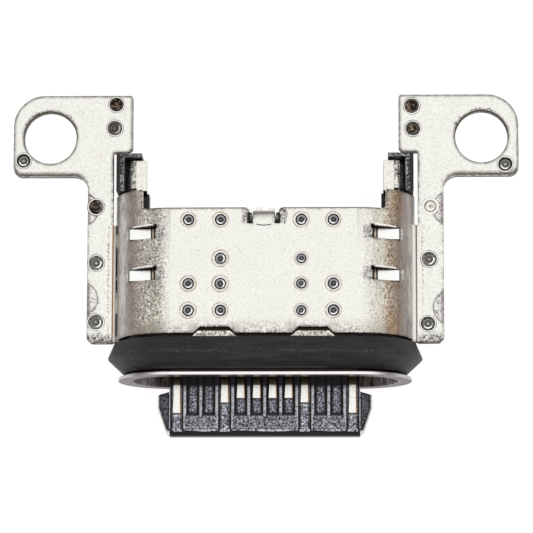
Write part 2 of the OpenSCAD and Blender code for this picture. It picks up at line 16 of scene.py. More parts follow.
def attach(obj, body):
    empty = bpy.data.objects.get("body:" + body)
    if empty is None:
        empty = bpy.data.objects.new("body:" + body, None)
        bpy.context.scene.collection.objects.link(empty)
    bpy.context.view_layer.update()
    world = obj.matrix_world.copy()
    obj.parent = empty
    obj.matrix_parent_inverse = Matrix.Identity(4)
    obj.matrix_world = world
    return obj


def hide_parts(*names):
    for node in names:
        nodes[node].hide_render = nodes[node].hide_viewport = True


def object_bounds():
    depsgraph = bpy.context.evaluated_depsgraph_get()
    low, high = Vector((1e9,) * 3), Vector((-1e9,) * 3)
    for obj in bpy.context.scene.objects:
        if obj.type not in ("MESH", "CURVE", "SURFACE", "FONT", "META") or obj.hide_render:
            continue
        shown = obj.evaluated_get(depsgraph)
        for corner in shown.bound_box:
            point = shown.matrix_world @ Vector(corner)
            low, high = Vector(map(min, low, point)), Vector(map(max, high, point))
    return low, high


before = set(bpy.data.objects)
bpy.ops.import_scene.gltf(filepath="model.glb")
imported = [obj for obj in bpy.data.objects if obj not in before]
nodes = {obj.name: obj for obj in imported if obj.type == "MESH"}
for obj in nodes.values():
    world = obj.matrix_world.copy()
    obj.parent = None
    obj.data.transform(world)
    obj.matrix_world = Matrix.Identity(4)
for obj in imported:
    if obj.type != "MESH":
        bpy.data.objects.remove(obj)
scene = bpy.context.scene
MM = 0.001
cad_low, cad_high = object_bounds()
print("pieces in the packed model:", len(nodes))


def place_object(name, data):
    thing = bpy.data.objects.new(name, data)
    scene.collection.objects.link(thing)
    return thing


# %% [markdown]
# ## Camera
# The photograph looks almost straight down on the socket, with the mouth towards the viewer.
# A long lens from 110 mm away keeps the sides nearly parallel, as a copy stand does.
# The three axes of the camera are worked out from its tilt, its lean and a trace of roll.

# %% Camera
TILT, LEAN, ROLL = math.radians(9.5), math.radians(1.7), math.radians(-0.14)
TARGET = Vector((0.035, 3.672, 0.0)) * MM
DISTANCE = 110 * MM
LENS_MM, SENSOR_MM = 235.45, 36

flat_on = math.cos(TILT)
away = Vector((math.sin(LEAN) * flat_on, -math.sin(TILT), math.cos(LEAN) * flat_on)).normalized()
right = Vector((0, 1, 0)).cross(away).normalized()
up = away.cross(right)
cam_x = right * math.cos(ROLL) - up * math.sin(ROLL)
cam_y = right * math.sin(ROLL) + up * math.cos(ROLL)

camera = place_object("camera", bpy.data.cameras.new("camera"))
place = TARGET + away * DISTANCE
turned = Matrix((cam_x, cam_y, away)).transposed().to_4x4()
camera.matrix_world = Matrix.Translation(place) @ turned
camera.data.lens = LENS_MM
camera.data.sensor_width = SENSOR_MM
camera.data.clip_start = 0.005
camera.data.clip_end = 10
scene.camera = camera
scene.view_settings.view_transform = "Standard"
print("camera at mm", [round(v / MM, 1) for v in place])


# %% [markdown]
# ## Helpers for node trees
# A node tree is easier to read as a few short lines. `add_node` makes one node and sets its
# values, and a value that is a socket is linked instead. The helpers after it don't need to be
# told which tree they work in, because each socket knows that.

# %% Node helpers
def is_socket(value):
    return isinstance(value, bpy.types.NodeSocket)


def connect(value, node, key):
    if is_socket(value):
        node.id_data.links.new(value, node.inputs[key])
    else:
        node.inputs[key].default_value = value


def add_node(tree, kind, inputs=None, **settings):
    node = tree.nodes.new(kind)
    for key, value in settings.items():
        setattr(node, key, value)
    for key, value in (inputs or {}).items():
        connect(value, node, key)
    return node


def tree_of(*values):
    return next(value.id_data for value in values if is_socket(value))


def math_node(operation, *values):
    inputs = dict(enumerate(values))
    return add_node(tree_of(*values), "ShaderNodeMath", inputs, operation=operation).outputs[0]


def vector_math(operation, vector, other=None, key=1, result=0):
    inputs = {0: vector} if other is None else {0: vector, key: other}
    return add_node(tree_of(vector), "ShaderNodeVectorMath", inputs, operation=operation).outputs[result]


def new_group(name, given, made, kind="ShaderNodeTree"):
    tree = bpy.data.node_groups.new(name, kind)
    for key, value in given.items():
        word = value if isinstance(value, str) else type(value).__name__.title()
        socket = tree.interface.new_socket(key, in_out="INPUT", socket_type="NodeSocket" + word)
        if word != value:
            socket.default_value = value
    word = "Float" if kind == "ShaderNodeTree" else "Geometry"
    for key in made:
        tree.interface.new_socket(key, in_out="OUTPUT", socket_type="NodeSocket" + word)
    return tree, tree.nodes.new("NodeGroupInput").outputs, tree.nodes.new("NodeGroupOutput")


# %% [markdown]
# ## Words for masks and colours
# Object coordinates are in metres, so the first helper turns them into millimetres. The rest
# are the words that the lesson is written in. A mask is a value from 0 to 1: `fade` rises from
# one value to another, `band` is 1 between two values, `times` keeps what all masks share and
# `either` takes the stronger one. `paint` lays a colour over another where its masks say so,
# and `tint` multiplies instead. `scaled` is a factor followed by an offset. The numbers in the
# masks are places on the socket in millimetres, or levels of a noise or of a face's normal.

# %% Small words for masks and colours
def object_mm(tree):
    where = add_node(tree, "ShaderNodeTexCoord").outputs["Object"]
    return vector_math("SCALE", where, 1 / MM, "Scale")


def split(vector):
    return add_node(tree_of(vector), "ShaderNodeSeparateXYZ", {0: vector}).outputs


def face_normal(tree):
    return split(add_node(tree, "ShaderNodeNewGeometry").outputs["Normal"])


def noise(vector, scale, detail=2.0, roughness=0.5, distortion=0.0):
    inputs = {"Vector": vector, "Scale": scale, "Detail": detail}
    inputs |= {"Roughness": roughness, "Distortion": distortion}
    return add_node(tree_of(vector), "ShaderNodeTexNoise", inputs).outputs["Fac"]


def times(*values):
    total = values[0]
    for value in values[1:]:
        total = math_node("MULTIPLY", total, value)
    return total


def plus(first, second):
    return math_node("ADD", first, second)


def minus(first, second):
    return math_node("SUBTRACT", first, second)


def opposite(mask):
    return minus(1.0, mask)


def either(first, second):
    return math_node("MAXIMUM", first, second)


def scaled(value, factor, offset):
    return math_node("MULTIPLY_ADD", value, factor, offset)


def size_of(value):
    return math_node("ABSOLUTE", value)


def fade(value, start, end, style="SMOOTHSTEP"):
    inputs = {"Value": value, "From Min": start, "From Max": end}
    return add_node(tree_of(value), "ShaderNodeMapRange", inputs, interpolation_type=style).outputs["Result"]


def band(value, low, high, soft=0.01):
    return times(fade(value, low - soft, low + soft), fade(value, high + soft, high - soft))


def joined(**parts):
    return add_node(tree_of(*parts.values()), "ShaderNodeCombineXYZ", parts).outputs[0]


def distance_to(x, y, place):
    return vector_math("DISTANCE", joined(X=x, Y=y), (*place, 0.0), result="Value")


def ramp_of(value, *stops):
    node = add_node(tree_of(value), "ShaderNodeValToRGB", {"Fac": value})
    marks = node.color_ramp.elements
    for i, (position, colour) in enumerate(stops):
        mark = marks[i] if i < 2 else marks.new(position)
        mark.position = position
        mark.color = (*colour, 1)
    return node.outputs["Color"]


def paint(under, over, *masks, blend="MIX"):
    factor = times(*masks)
    tree = tree_of(factor, under, over)
    node = add_node(tree, "ShaderNodeMix", data_type="RGBA", blend_type=blend, clamp_factor=True)
    for key, value in ((0, factor), (6, under), (7, over)):
        connect((*value, 1) if isinstance(value, tuple) else value, node, key)
    return node.outputs[2]


def tint(under, over, *masks):
    return paint(under, over, *masks, blend="MULTIPLY")


# %% [markdown]
# ## Shared surface effects
# All the metal pieces are cut from rolled sheet, so one group gives them its fine grain: a
# soft cloudiness, a fine grain and a few darker pin holes.

# %% Fine grain, shared by the metal pieces
def grain_group():
    made = "Tone", "Pin holes", "Height"
    tree, given, result = new_group("sheet_grain", {"Grains per mm": 18.0}, made)
    spot = object_mm(tree)
    fine = noise(spot, given["Grains per mm"], 3.0, 0.65)
    broad = noise(spot, 1.3, 2.0, 0.5)
    connect(scaled(fade(fine, 0.34, 0.64), 0.75, times(broad, 0.25)), result, "Tone")
    connect(fade(noise(spot, 11.0, 2.0, 0.6), 0.63, 0.72), result, "Pin holes")
    connect(fine, result, "Height")
    return tree


grain = grain_group()
print("built group", grain.name)


# %% [markdown]
# Dirt and tarnish gather where a sheet was sheared. The Ambient Occlusion node measures how
# near an edge is when it looks inwards, and how near a corner is when it looks outwards. A noise
# breaks the edge up, because no real edge is stained evenly. On the plastic the same masks give
# painted highlights along the edges and painted shade in the corners.

# %% Stain along edges, and nearness of corners for painted shade
def nearness(reach, inside, far, near):
    settings = {"samples": 6, "inside": inside, "only_local": True}
    node = add_node(tree_of(reach), "ShaderNodeAmbientOcclusion", {"Distance": reach}, **settings)
    return fade(node.outputs["AO"], far, near)


def stain_group():
    made = "Edge", "Broken edge", "Corner"
    tree, given, result = new_group("edge_stain_and_light", {"Reach": 0.00015}, made)
    near_edge = nearness(given["Reach"], True, 0.98, 0.6)
    patches = noise(object_mm(tree), 6.0, 4.0, 0.75)
    connect(near_edge, result, "Edge")
    connect(times(near_edge, fade(patches, 0.4, 0.6)), result, "Broken edge")
    # The corner mask is used as painted shade in corners.
    connect(nearness(given["Reach"], False, 0.96, 0.8), result, "Corner")
    return tree


stain_and_light = stain_group()
print("built group", stain_and_light.name)


# %% [markdown]
# The outline of the shell, the seal and the flange is a slot: two straight runs and two half
# circles. This group gives the distance from the middle line of that slot, which tells the
# inside of the mouth, the face of the rim and its outer edge apart.

# %% Distance from the middle line of the slot
def ring_group():
    tree, given, result = new_group("slot_ring", {"Half width": 2.89}, ("Radius", "Along"))
    x, y, z = split(object_mm(tree))
    beyond = either(minus(size_of(x), given["Half width"]), 0.0)
    connect(vector_math("LENGTH", joined(X=beyond, Z=z), result="Value"), result, "Radius")
    connect(y, result, "Along")
    return tree


slot_ring = ring_group()
print("built group", slot_ring.name)


# %% [markdown]
# ## Materials
# Each material starts as one Principled shader. Its plain values are set on the shader itself,
# and only what changes over the surface is linked.

# %% Helpers for a new material
def set_plain(inputs, values):
    for key, value in values.items():
        inputs[key.replace("_", " ")].default_value = value


def start_material(name, **plain):
    material = bpy.data.materials.new(name)
    material.use_nodes = True
    shader = material.node_tree.nodes["Principled BSDF"]
    set_plain(shader.inputs, plain)
    return material, material.node_tree, shader


def use_group(tree, group, **inputs):
    node = add_node(tree, "ShaderNodeGroup", node_tree=group)
    set_plain(node.inputs, inputs)
    return node.outputs


def add_bump(shader, height, distance_mm, mask=None):
    inputs = {"Height": height, "Distance": distance_mm * MM}
    if mask:
        inputs["Normal"] = turned_flat(mask)
    bump = add_node(shader.id_data, "ShaderNodeBump", inputs)
    connect(bump.outputs["Normal"], shader, "Normal")


def turned_flat(mask):
    tree = tree_of(mask)
    normal = add_node(tree, "ShaderNodeNewGeometry").outputs["Normal"]
    side = math_node("SIGN", split(object_mm(tree))["Z"])
    inputs = {0: mask, 4: normal, 5: joined(Z=side)}
    mixed = add_node(tree, "ShaderNodeMix", inputs, data_type="VECTOR").outputs[1]
    return vector_math("NORMALIZE", mixed)


# %% [markdown]
# ### Bracket steel
# The brackets are nickel-plated steel. The flat parts reflect the light overhead and look
# cream white. Where the press drew the sheet over the round of the shell, the plating is
# coarse and brown grey. The tone of the drawn sides also carries painted shade where they
# slope steeply and a painted highlight down in the crease of the leg, and the left side gets
# a little more painted shade.

# %% Tones of the flat sheet, and of the drawn sides by distance from the middle, with painted shade and a painted highlight
FLAT_TONES = (0.82, 0.805, 0.74), (1.0, 0.998, 0.94)
SIDE_TONES = [
    (0.0, (0.93, 0.92, 0.86)),
    (0.1, (0.9, 0.885, 0.81)),
    (0.2, (0.92, 0.89, 0.8)),
    (0.28, (0.9, 0.85, 0.76)),
    (0.375, (1.0, 0.93, 0.82)),
    (0.475, (0.92, 0.83, 0.74)),
    (0.55, (0.72, 0.63, 0.56)),
    (0.625, (0.42, 0.36, 0.33)),
    (0.675, (0.375, 0.32, 0.3)),
    (0.74, (0.42, 0.38, 0.365)),
    (0.8, (0.8, 0.755, 0.73)),
    (0.86, (1.0, 0.96, 0.93)),
    (1.0, (0.93, 0.92, 0.86)),
]
SPECKLE = [(0.36, (0.3, 0.28, 0.25)), (0.49, (0.98, 0.98, 0.98)), (0.62, (1.25, 1.25, 1.25))]


def drawn_side(spot, flat):
    x, _, z = split(spot)
    from_middle = size_of(minus(x, 0.05))
    shifted = scaled(noise(spot, 3.0, 3.0, 0.6), 0.16, plus(from_middle, -0.08))
    # The ramp paints shade on the steep part of the sides and a highlight in the crease of the leg.
    tone = ramp_of(fade(shifted, 2.9, 4.9, "LINEAR"), *SIDE_TONES)
    coarse = noise(spot, 15.0, 3.0, 0.75, 0.6)
    streaks = noise(vector_math("MULTIPLY", spot, (22.0, 3.0, 6.0)), 1.0, 3.0, 0.6)
    low = fade(from_middle, 4.05, 4.35)
    rough = add_node(spot.id_data, "ShaderNodeMix", {0: times(low, 0.7), 2: coarse, 3: streaks}).outputs[0]
    speckle = ramp_of(rough, *SPECKLE)
    calm = times(fade(x, 2.6, 2.9), fade(from_middle, 3.85, 3.6))
    weaker = either(fade(from_middle, 3.95, 4.3), calm)
    tone = tint(tone, speckle, scaled(weaker, -0.35, 1.0))
    left_side = fade(x, 1.0, -1.0)
    # Painted shade: a darker band on the left side.
    tone = tint(tone, (0.82, 0.81, 0.8), band(shifted, 3.22, 3.56, 0.08), left_side)
    pits = ramp_of(coarse, (0.38, (0.46, 0.43, 0.38)), (0.53, (1.02, 1.02, 1.02)))
    tone = tint(tone, pits, band(shifted, 3.05, 3.75, 0.12), left_side, 0.5)
    right_side = fade(x, 3.6, 4.0)
    gold = fade(noise(spot, 1.4, 2.0, 0.5), 0.3, 0.62)
    tone = tint(tone, (0.98, 0.87, 0.73), gold, right_side, fade(from_middle, 4.42, 4.2))
    tone = tint(tone, (0.78, 0.73, 0.68), band(from_middle, 3.76, 4.2, 0.1), fade(x, -1.0, 1.0))
    tone = tint(tone, (0.86, 0.84, 0.83), band(from_middle, 4.24, 4.54, 0.05), right_side)
    mask = times(fade(shifted, 2.86, 3.3), fade(size_of(z), 0.16, 0.3))
    glints = times(fade(coarse, 0.54, 0.63), scaled(weaker, -0.6, 0.75), mask)
    return paint(flat, tone, mask), mask, coarse, glints


# %% [markdown]
# The lances are pressed flat between two polished dies, so they come out bright. Behind each
# one the punch leaves a tan strip and a dull ramp. The black step round the strip and a dark
# knot beside it are painted shade in the gap, as is a dark outline round the far end and the
# front edge of the tab, and the rolled rear edge of each window is a painted highlight. The
# corners of the bent tab are bruised by the same blow. Along the front edge of the arch the
# sheet is mottled darker, and the rear edge has a dark line. The gaps behind the notches, the
# sheet beside them, the bent tab and the slots beside it carry painted shade, and a curved line
# at the front of the bent tab is a painted shadow.

# %% Lances and the coined places
ROWS_Y, ROW_STEP = 3.835, 0.655
LANCE_START, LANCE_END, NOTCH_X = 3.545, 4.235, 1.53


def lances(spot, colour, coarse):
    x, y, z = split(spot)
    across = size_of(x)
    past_middle = minus(y, ROWS_Y)
    from_row = minus(past_middle, times(math_node("SIGN", past_middle), ROW_STEP))
    off_row = size_of(from_row)
    ragged = scaled(noise(spot, 5.0, 3.0, 0.7), 0.16, -0.08)
    raised = fade(size_of(z), 0.5, 0.6)
    in_row = times(fade(off_row, 0.185, 0.17), raised)
    near_row = times(fade(plus(off_row, ragged), 0.24, 0.13), raised)
    mottled = ramp_of(coarse, (0.36, (0.16, 0.145, 0.14)), (0.64, (1.0, 0.98, 0.93)))
    for start, end, soft in ((3.08, 3.38, 0.04), (4.24, 4.33, 0.02)):
        colour = paint(colour, mottled, near_row, band(plus(across, ragged), start, end, soft))
    # Painted shade: a black step in the gap behind the tab.
    colour = paint(colour, (0.015, 0.012, 0.01), in_row, band(across, 3.38, LANCE_START))
    colour = paint(colour, (0.8, 0.66, 0.5), in_row, band(across, 3.44, 3.495))
    # Painted shade: a dark knot beside the step.
    knot_shade = times(band(from_row, 0.1, 0.25, 0.02), band(across, 3.33, 3.44, 0.02), raised)
    colour = paint(colour, (0.01, 0.008, 0.007), knot_shade)
    # Painted highlight: the rolled rear edge of each window.
    opening = scaled(across, 0.04, minus(from_row, 4.2 * 0.04))
    rolled_edge_highlight = times(band(opening, 0.195, 0.235, 0.012), band(across, 3.46, 4.12, 0.05), raised)
    colour = paint(colour, (1.0, 1.0, 0.97), rolled_edge_highlight)
    # Painted shade: a dark outline round the far end and the front edge of the tab.
    tab_outline_shade = either(band(across, LANCE_END, 4.265), fade(from_row, -0.155, -0.17))
    colour = paint(colour, (0.05, 0.04, 0.035), in_row, tab_outline_shade, band(across, LANCE_START, 4.265), 0.85)
    tab = times(in_row, band(across, LANCE_START, LANCE_END), fade(from_row, -0.165, -0.15))
    return paint(colour, (1.0, 1.0, 0.98), tab), either(tab, rolled_edge_highlight)


def coined_places(spot, colour, coarse):
    x, y, z = split(spot)
    across = size_of(x)
    top = fade(size_of(z), 1.3, 1.5)
    ragged = scaled(noise(spot, 5.0, 3.0, 0.7), 0.24, -0.12)
    dull = ramp_of(coarse, (0.38, (0.06, 0.05, 0.04)), (0.64, (1.0, 0.98, 0.92)))
    corners = times(band(plus(across, ragged), 0.44, 0.7, 0.05), band(plus(y, ragged), 4.74, 5.3, 0.05), top)
    colour = paint(colour, dull, corners)
    front = times(fade(y, 1.9, 1.3), fade(coarse, 0.46, 0.58), top)
    colour = paint(colour, (0.3, 0.27, 0.23), front, 0.9)
    rear = times(fade(y, 5.205, 5.225), fade(across, 0.5, 0.55), fade(across, 3.66, 3.6), top)
    colour = paint(colour, (0.07, 0.055, 0.045), rear, 0.85)
    from_notch = size_of(minus(across, NOTCH_X))
    # Painted shade: a dark line in the gap behind each notch.
    lip_shade = times(band(y, 1.47, 1.53, 0.012), fade(from_notch, 0.46, 0.42), top, fade(coarse, 0.44, 0.54))
    colour = paint(colour, (0.05, 0.04, 0.035), lip_shade, 0.8)
    # Painted shade where the sheet beside each notch bends down.
    beside_notch = times(band(from_notch, 0.5, 0.8, 0.06), band(y, 1.3, 1.62, 0.08), top)
    colour = paint(colour, (0.5, 0.47, 0.42), beside_notch, 0.5)
    # Painted shadow: a curved dark line at the front of the bent tab.
    bow = scaled(times(x, x), -0.6, y)
    colour = paint(colour, (0.06, 0.055, 0.05), band(bow, 4.668, 4.7, 0.006), fade(across, 0.26, 0.22), top)
    # Painted shade on the bent part of the tab.
    bent = times(fade(y, 4.84, 5.08), fade(across, 0.36, 0.34), top)
    colour = paint(colour, (0.36, 0.34, 0.31), bent, 0.8)
    # Painted shade: black in the slots beside the bent tab.
    shaded_beside = times(band(plus(across, times(ragged, 0.25)), 0.4, 0.515), top, band(y, 4.74, 5.1))
    return paint(colour, (0.02, 0.015, 0.012), shaded_beside)


# %% [markdown]
# Sheared walls keep the raw steel, with brown and orange tarnish, and painted shade makes the
# upright walls darker still. Along the bend the left leg has a black line of painted shadow and
# an orange brown line of painted reflection, the right leg a painted highlight strip with a
# painted shadow, and both a row of fine marks. Each leg has two round dents in its outer edge,
# from the strip that carried the brackets through the press, and the ears are bruised behind
# their screw holes, whose far walls carry a crescent of painted shade. Walls near the rear that
# face sideways carry a painted highlight.

# %% Sheared walls, bend lines and dents
DENTS = [(-5.824, 2.48), (-5.824, 5.495), (5.824, 2.33), (5.824, 5.495)]
EAR_HOLES = [(-6.834, 7.8), (6.834, 7.8)]


def leg_marks(spot, colour, coarse):
    x, y, z = split(spot)
    across, low = size_of(x), fade(size_of(z), 0.32, 0.26)
    before_slot = fade(y, 4.98, 4.94)
    left = fade(x, 1.0, -1.0)
    right = opposite(left)
    patchy = fade(noise(spot, 1.6, 2.0, 0.5), 0.34, 0.44)
    # Painted shadow: a broken black line in the crease of the left leg.
    colour = paint(colour, (0.01, 0.009, 0.008), band(across, 4.66, 4.715, 0.012), patchy, before_slot, left)
    # Painted highlight: a bright strip along the bend of the right leg.
    lit_strip = times(band(across, 4.62, 4.72, 0.015), before_slot, right)
    colour = paint(colour, (0.92, 0.88, 0.84), lit_strip)
    # Painted reflection: an orange brown line on the left leg; painted shade beside the strip on the right
    # leg.
    colour = paint(colour, (0.34, 0.17, 0.08), band(across, 4.785, 4.835, 0.008), low, before_slot, left)
    colour = paint(colour, (0.22, 0.18, 0.15), band(across, 4.74, 4.785, 0.01), low, before_slot, right)
    dots = times(band(across, 4.92, 4.99, 0.012), fade(coarse, 0.52, 0.58), low, before_slot)
    colour = paint(colour, (0.26, 0.22, 0.17), dots, 0.8)
    rough = ramp_of(coarse, (0.42, (0.05, 0.045, 0.04)), (0.6, (0.9, 0.87, 0.84)))
    front = scaled(noise(spot, 4.0, 3.0, 0.7), 0.5, plus(y, -0.25))
    colour = paint(colour, rough, fade(front, 1.6, 1.38), fade(across, 4.75, 4.85), low)
    bitten = ramp_of(coarse, (0.38, (0.05, 0.045, 0.04)), (0.5, (0.97, 0.95, 0.91)))
    for place in DENTS:
        ragged = scaled(noise(spot, 5.0, 4.0, 0.8), 0.7, distance_to(x, y, place))
        dented = fade(ragged, 0.98, 0.78)
        colour = paint(colour, bitten, dented, 0.8)
        colour = paint(colour, (0.46, 0.41, 0.42), dented, fade(across, 5.5, 5.56))
    for place in EAR_HOLES:
        away = distance_to(x, y, place)
        ragged = scaled(noise(spot, 3.0, 4.0, 0.8), 0.5, away)
        colour = paint(colour, rough, fade(ragged, 1.21, 1.11), fade(y, place[1] - 0.2, place[1] + 0.5))
        # Painted shade: a dark crescent on the far wall of each ear hole.
        lip_shade = times(band(away, 0.7, 0.862, 0.008), fade(y, place[1] - 0.5, place[1] + 0.5))
        colour = paint(colour, (0.03, 0.024, 0.02), lip_shade)
    return colour, lit_strip


def sheared_walls(spot, colour):
    x, y, z = split(spot)
    facing = face_normal(spot.id_data)
    end_wall = fade(size_of(facing["Y"]), 0.72, 0.9)
    flat_part = fade(size_of(z), 0.2, 0.16)
    side_wall = times(fade(size_of(facing["Z"]), 0.55, 0.35), flat_part)
    wall = either(end_wall, side_wall)
    # Raw steel with tarnish, and painted shade on the upright walls.
    raw_steel_and_shade = ramp_of(noise(spot, 2.5, 3.0, 0.7), (0.4, (0.03, 0.026, 0.023)), (0.72, (0.3, 0.235, 0.185)))
    colour = paint(colour, raw_steel_and_shade, wall)
    # Painted highlight on the walls near the rear that face sideways.
    lit_side_wall = times(fade(size_of(facing["X"]), 0.5, 0.7), fade(y, 5.2, 5.3), fade(size_of(x), 4.0, 3.9))
    lit_side_wall = times(lit_side_wall, fade(y, 6.0, 5.9))
    return paint(colour, (1.0, 0.99, 0.96), lit_side_wall), wall


# %% Bracket steel
def bracket_finish():
    material, tree, shader = start_material("bracket_steel", Metallic=1.0, Roughness=0.27)
    sheet = use_group(tree, grain, Grains_per_mm=17.0)
    stains = use_group(tree, stain_and_light, Reach=0.00012)
    spot = object_mm(tree)
    flat = paint(*FLAT_TONES, sheet["Tone"])
    flat = paint(flat, (0.52, 0.5, 0.44), sheet["Pin holes"], 0.4)
    tilted = opposite(face_normal(tree)["Z"])
    colour, side, coarse, glints = drawn_side(spot, flat)
    colour = coined_places(spot, colour, coarse)
    colour, lit_strip = leg_marks(spot, colour, coarse)
    colour = paint(colour, (0.12, 0.095, 0.075), stains["Broken edge"], 0.85)
    on_ear = times(fade(split(spot)["Y"], 6.4, 6.7), fade(tilted, 0.5, 0.3))
    colour = paint(colour, (0.1, 0.08, 0.065), stains["Edge"], on_ear, 0.7)
    colour, wall = sheared_walls(spot, colour)
    colour, tab = lances(spot, colour, coarse)
    connect(colour, shader, "Base Color")
    dull = times(side, opposite(tab))
    connect(scaled(wall, 0.2, scaled(dull, 0.12, 0.26)), shader, "Roughness")
    height = scaled(times(coarse, dull), 2.0, sheet["Height"])
    level = either(times(tab, 0.85), glints)
    level = either(level, times(lit_strip, 0.6))
    add_bump(shader, height, 0.003, level)
    return material


# %% [markdown]
# ### Shell steel
# The shell is drawn from thicker steel. The rim's outer edge carries a painted highlight, a
# white line, which turns grey and scratched at the round ends. The face of the rim is dull and
# scratched by plugs. The inside of the mouth is scratched and carries painted shade: dark along
# the straight runs, lighter at the round ends and darkest deep inside. Both grooves beside the
# seal, the faces turned to the rear and the part under the bracket are painted dark as shade,
# and a painted highlight runs round the front of each lug.

# %% Shell steel
LUG_X, LUG_HALF_WIDTH, LUG_FRONT_Y = 1.55, 0.45, 1.37


def shell_finish():
    material, tree, shader = start_material("shell_steel", Metallic=1.0, Roughness=0.3)
    sheet = use_group(tree, grain, Grains_per_mm=20.0)
    radius, along = use_group(tree, slot_ring)
    spot = object_mm(tree)
    x, y, z = split(spot)
    across = size_of(x)
    coarse = noise(spot, 17.0, 4.0, 0.75)
    facing = face_normal(tree)
    outside = paint((0.7, 0.665, 0.61), (0.99, 0.96, 0.9), sheet["Tone"])
    lug_top = ramp_of(coarse, (0.4, (0.13, 0.105, 0.085)), (0.6, (0.98, 0.92, 0.84)))
    high = fade(size_of(z), 1.66, 1.69)
    colour = paint(outside, lug_top, high, fade(y, 1.0, 1.1))
    from_lug = minus(size_of(minus(across, LUG_X)), LUG_HALF_WIDTH)
    # Painted highlight: a white line round the front of each lug.
    edge_reflection = scaled(noise(spot, 9.0, 2.0, 0.6), 0.12, distance_to(from_lug, y, (0.0, LUG_FRONT_Y)))
    colour = paint(colour, (1.0, 0.99, 0.95), fade(edge_reflection, 0.145, 0.115), high)
    # Painted highlight: a white line along the rim's outer edge.
    edge = times(band(radius, 1.66, 1.9), fade(y, 0.3, 0.2))
    colour = paint(colour, (1.0, 0.995, 0.98), edge)
    wear_and_painted_light = ramp_of(coarse, (0.3, (0.34, 0.315, 0.32)), (0.66, (0.66, 0.62, 0.62)))
    colour = paint(colour, wear_and_painted_light, edge, fade(across, 3.3, 3.9))
    slant = vector_math("MULTIPLY", spot, (9.0, 1.2, 4.0))
    scratch = noise(slant, 2.0, 4.0, 0.75, 0.4)
    face = ramp_of(scratch, (0.36, (0.16, 0.14, 0.14)), (0.6, (0.53, 0.49, 0.5)))
    forward = fade(facing["Y"], -0.55, -0.8)
    colour = paint(colour, face, forward)
    inside = fade(radius, 1.31, 1.285)
    shallow = fade(y, 1.4, 0.7)
    connect(scaled(times(inside, shallow), -0.85, 1.0), shader, "Metallic")
    # Painted shade inside the mouth: darker along the straight runs and deep inside.
    lit_end = ramp_of(scratch, (0.38, (0.18, 0.16, 0.16)), (0.6, (0.62, 0.57, 0.58)))
    shaded_run = ramp_of(scratch, (0.42, (0.015, 0.012, 0.011)), (0.66, (0.3, 0.26, 0.24)))
    mouth_shade = paint(shaded_run, lit_end, fade(across, 3.25, 4.0))
    mouth_shade = paint(mouth_shade, (0.05, 0.045, 0.045), fade(y, 0.6, 1.6))
    colour = paint(colour, mouth_shade, inside)
    # Painted shade in the grooves beside the seal.
    beside_seal = either(band(along, 0.105, 0.3), band(along, 1.1, 1.56))
    groove_shade = times(beside_seal, fade(radius, 1.62, 1.6), fade(radius, 1.3, 1.32))
    colour = paint(colour, (0.03, 0.022, 0.02), groove_shade)
    held_back = paint((1.0, 1.0, 1.0), (0.52, 0.48, 0.48), forward)
    connect(held_back, shader, "Specular Tint")
    # Painted shade on faces turned to the rear and under the bracket.
    covered_shade = either(fade(facing["Y"], 0.5, 0.8), fade(y, 1.75, 1.85))
    colour = paint(colour, (0.03, 0.024, 0.02), covered_shade)
    connect(colour, shader, "Base Color")
    add_bump(shader, scaled(coarse, 1.5, sheet["Height"]), 0.0025)
    return material


# %% [markdown]
# ### Plate and contacts
# The mid plate is tinned where it shows: its latch edges are bright from plugs sliding over
# them, and its solder legs are dipped, so their bent sides are lumpy. Faces near the rear that
# tip forward carry painted shade. The contacts are plated cream white on the face, with brown
# sheared sides and an orange painted reflection along one edge, and carry painted shade where
# they enter the mouth.

# %% Plate steel
def plate_finish():
    material, tree, shader = start_material("plate_steel", Metallic=1.0, Roughness=0.26)
    sheet = use_group(tree, grain, Grains_per_mm=12.0)
    spot = object_mm(tree)
    x, y, _ = split(spot)
    facing = face_normal(tree)
    colour = paint((0.78, 0.755, 0.68), (0.99, 0.975, 0.92), sheet["Tone"])
    colour = paint(colour, (0.5, 0.46, 0.38), sheet["Pin holes"], 0.6)
    lumps = noise(spot, 8.0, 3.0, 0.7)
    bent = times(fade(size_of(x), 4.05, 4.08), fade(y, 5.9, 5.95))
    dipped = ramp_of(lumps, (0.38, (0.12, 0.11, 0.1)), (0.6, (0.95, 0.92, 0.85)))
    colour = paint(colour, dipped, bent)
    # Painted shade on faces near the rear that tip forward.
    colour = paint(colour, (0.1, 0.075, 0.06), fade(facing["Y"], -0.3, -0.5), fade(y, 5.0, 5.2))
    connect(colour, shader, "Base Color")
    height = scaled(times(lumps, bent), 6.0, sheet["Height"])
    add_bump(shader, height, 0.003, times(bent, 0.7))
    return material


# %% Contact metal
CONTACT_PITCH, HALF_PITCH = 0.5, 0.25


def contact_finish():
    material, tree, shader = start_material("contact_metal", Metallic=1.0, Roughness=0.22)
    sheet = use_group(tree, grain, Grains_per_mm=16.0)
    x, y, _ = split(object_mm(tree))
    facing = face_normal(tree)
    face = paint((0.86, 0.84, 0.77), (0.99, 0.985, 0.94), sheet["Tone"])
    sheared = fade(size_of(facing["X"]), 0.2, 0.5)
    colour = paint(face, (0.1, 0.07, 0.05), sheared)
    from_left = math_node("WRAP", x, CONTACT_PITCH, 0.0)
    # Painted reflection: an orange line along one edge of each contact.
    edge_reflection = fade(from_left, HALF_PITCH + 0.085, HALF_PITCH + 0.105)
    colour = paint(colour, (0.5, 0.3, 0.16), edge_reflection)
    tip, entry_shade, tail = fade(facing["Y"], -0.3, -0.6), fade(y, -0.16, -0.12), fade(y, 4.9, 5.0)
    colour = paint(colour, (0.3, 0.28, 0.26), tip)
    # Painted shade where the contacts enter the mouth.
    colour = paint(colour, (0.16, 0.12, 0.09), entry_shade)
    colour = paint(colour, face, tail)
    connect(colour, shader, "Base Color")
    add_bump(shader, sheet["Height"], 0.001)
    return material


